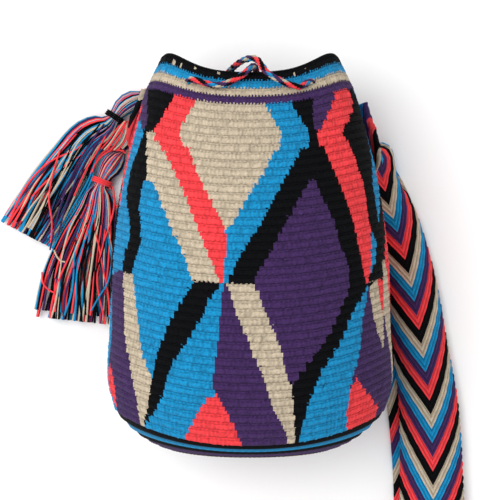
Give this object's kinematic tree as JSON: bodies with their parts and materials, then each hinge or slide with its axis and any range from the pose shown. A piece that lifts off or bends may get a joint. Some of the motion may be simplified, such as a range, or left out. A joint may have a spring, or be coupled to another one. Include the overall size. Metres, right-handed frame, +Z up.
{
  "type": "crocheted mochila bag",
  "caption": "Crocheted cylindrical shoulder bag with a zigzag pattern, woven strap, eyelets, drawstring and two yarn tassels, lying on its back.",
  "frame": {"origin": "centre of the flat spot on the bag's back, on the surface it lies on", "axes": "+Z up through the bag's front, +Y from the base towards the mouth, +X to the bag's right as seen from above"},
  "size_m": [0.3943, 0.5022, 0.1816],
  "materials": {
    "crochet_cotton": "matte crocheted cotton in five colours",
    "braided_cord": "matte braided cord",
    "tassel_yarn": "loose matte yarn",
    "black_yarn": "matte yarn",
    "coral_yarn": "matte yarn",
    "woven_strap": "matte woven band",
    "seam_yarn": "matte yarn"
  },
  "bodies": {
    "root": {"bag_body": "crochet_cotton", "drawstring": "braided_cord", "upper_tassel_yarns": "tassel_yarn", "upper_tassel_wrap": "black_yarn", "lower_tassel_yarns": "tassel_yarn", "lower_tassel_wrap": "coral_yarn", "shoulder_strap": "woven_strap", "strap_seam_right": "seam_yarn", "strap_seam_left": "seam_yarn"}
  },
  "joints": []
}
